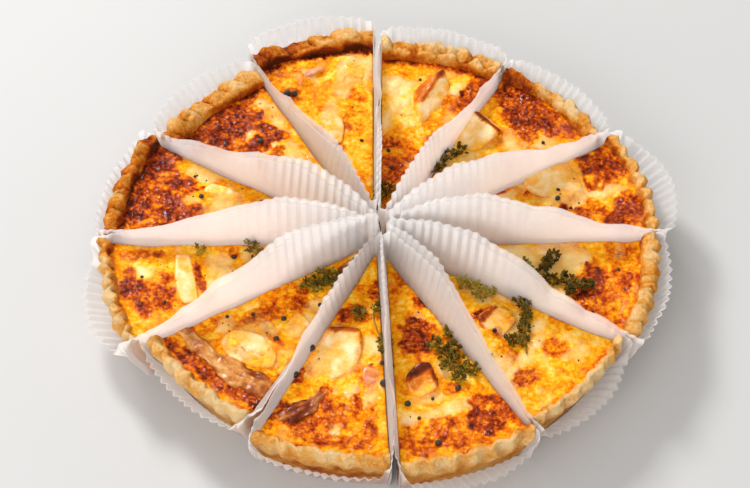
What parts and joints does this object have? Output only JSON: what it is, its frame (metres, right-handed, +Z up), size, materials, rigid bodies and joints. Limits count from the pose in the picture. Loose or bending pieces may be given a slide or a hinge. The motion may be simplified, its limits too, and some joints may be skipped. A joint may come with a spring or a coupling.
{
  "type": "quiche",
  "caption": "Round open quiche with a crimped pastry rim and a browned custard top, cut into wedges that each stand in a pleated paper case.",
  "frame": {"origin": "middle of the bounding box's underside, on the surface that the paper cases stand on", "axes": "+Z up; +Y to the back and +X to the right of someone looking across the quiche from the front"},
  "size_m": [0.2722, 0.2666, 0.0563],
  "materials": {
    "crust": "baked shortcrust pastry, golden, dry and slightly flaky",
    "filling": "baked egg custard with cheese, browned in patches, moist sheen",
    "potato": "boiled potato, baked on, pale with browned edges",
    "bacon": "cooked bacon, pink with a browned edge, slightly oily",
    "onion": "browned onion, glossy and half see-through",
    "herb": "baked parsley leaf, dark olive green",
    "paper": "thin pleated glassine, half see-through, soft sheen"
  },
  "bodies": {
    "root": {"bacon_01": "bacon", "bacon_08": "bacon", "crust_01": "crust", "crust_02": "crust", "crust_03": "crust", "crust_04": "crust", "crust_05": "crust", "crust_06": "crust", "crust_07": "crust", "crust_08": "crust", "crust_09": "crust", "crust_10": "crust", "crust_11": "crust", "crust_12": "crust", "filling_01": "filling", "filling_02": "filling", "filling_03": "filling", "filling_04": "filling", "filling_05": "filling", "filling_06": "filling", "filling_07": "filling", "filling_08": "filling", "filling_09": "filling", "filling_10": "filling", "filling_11": "filling", "filling_12": "filling", "herb_02": "herb", "herb_03": "herb", "herb_05": "herb", "herb_06": "herb", "herb_07": "herb", "herb_08": "herb", "herb_09": "herb", "onion_09": "onion", "paper_01": "paper", "paper_02": "paper", "paper_03": "paper", "paper_04": "paper", "paper_05": "paper", "paper_06": "paper", "paper_07": "paper", "paper_08": "paper", "paper_09": "paper", "paper_10": "paper", "paper_11": "paper", "paper_12": "paper", "potato_01a": "potato", "potato_01b": "potato", "potato_02a": "potato", "potato_02b": "potato", "potato_03": "potato", "potato_04": "potato", "potato_06": "potato", "potato_07": "potato", "potato_08": "potato", "potato_09a": "potato", "potato_09b": "potato", "potato_10": "potato", "potato_11": "potato", "potato_12": "potato"}
  },
  "joints": []
}
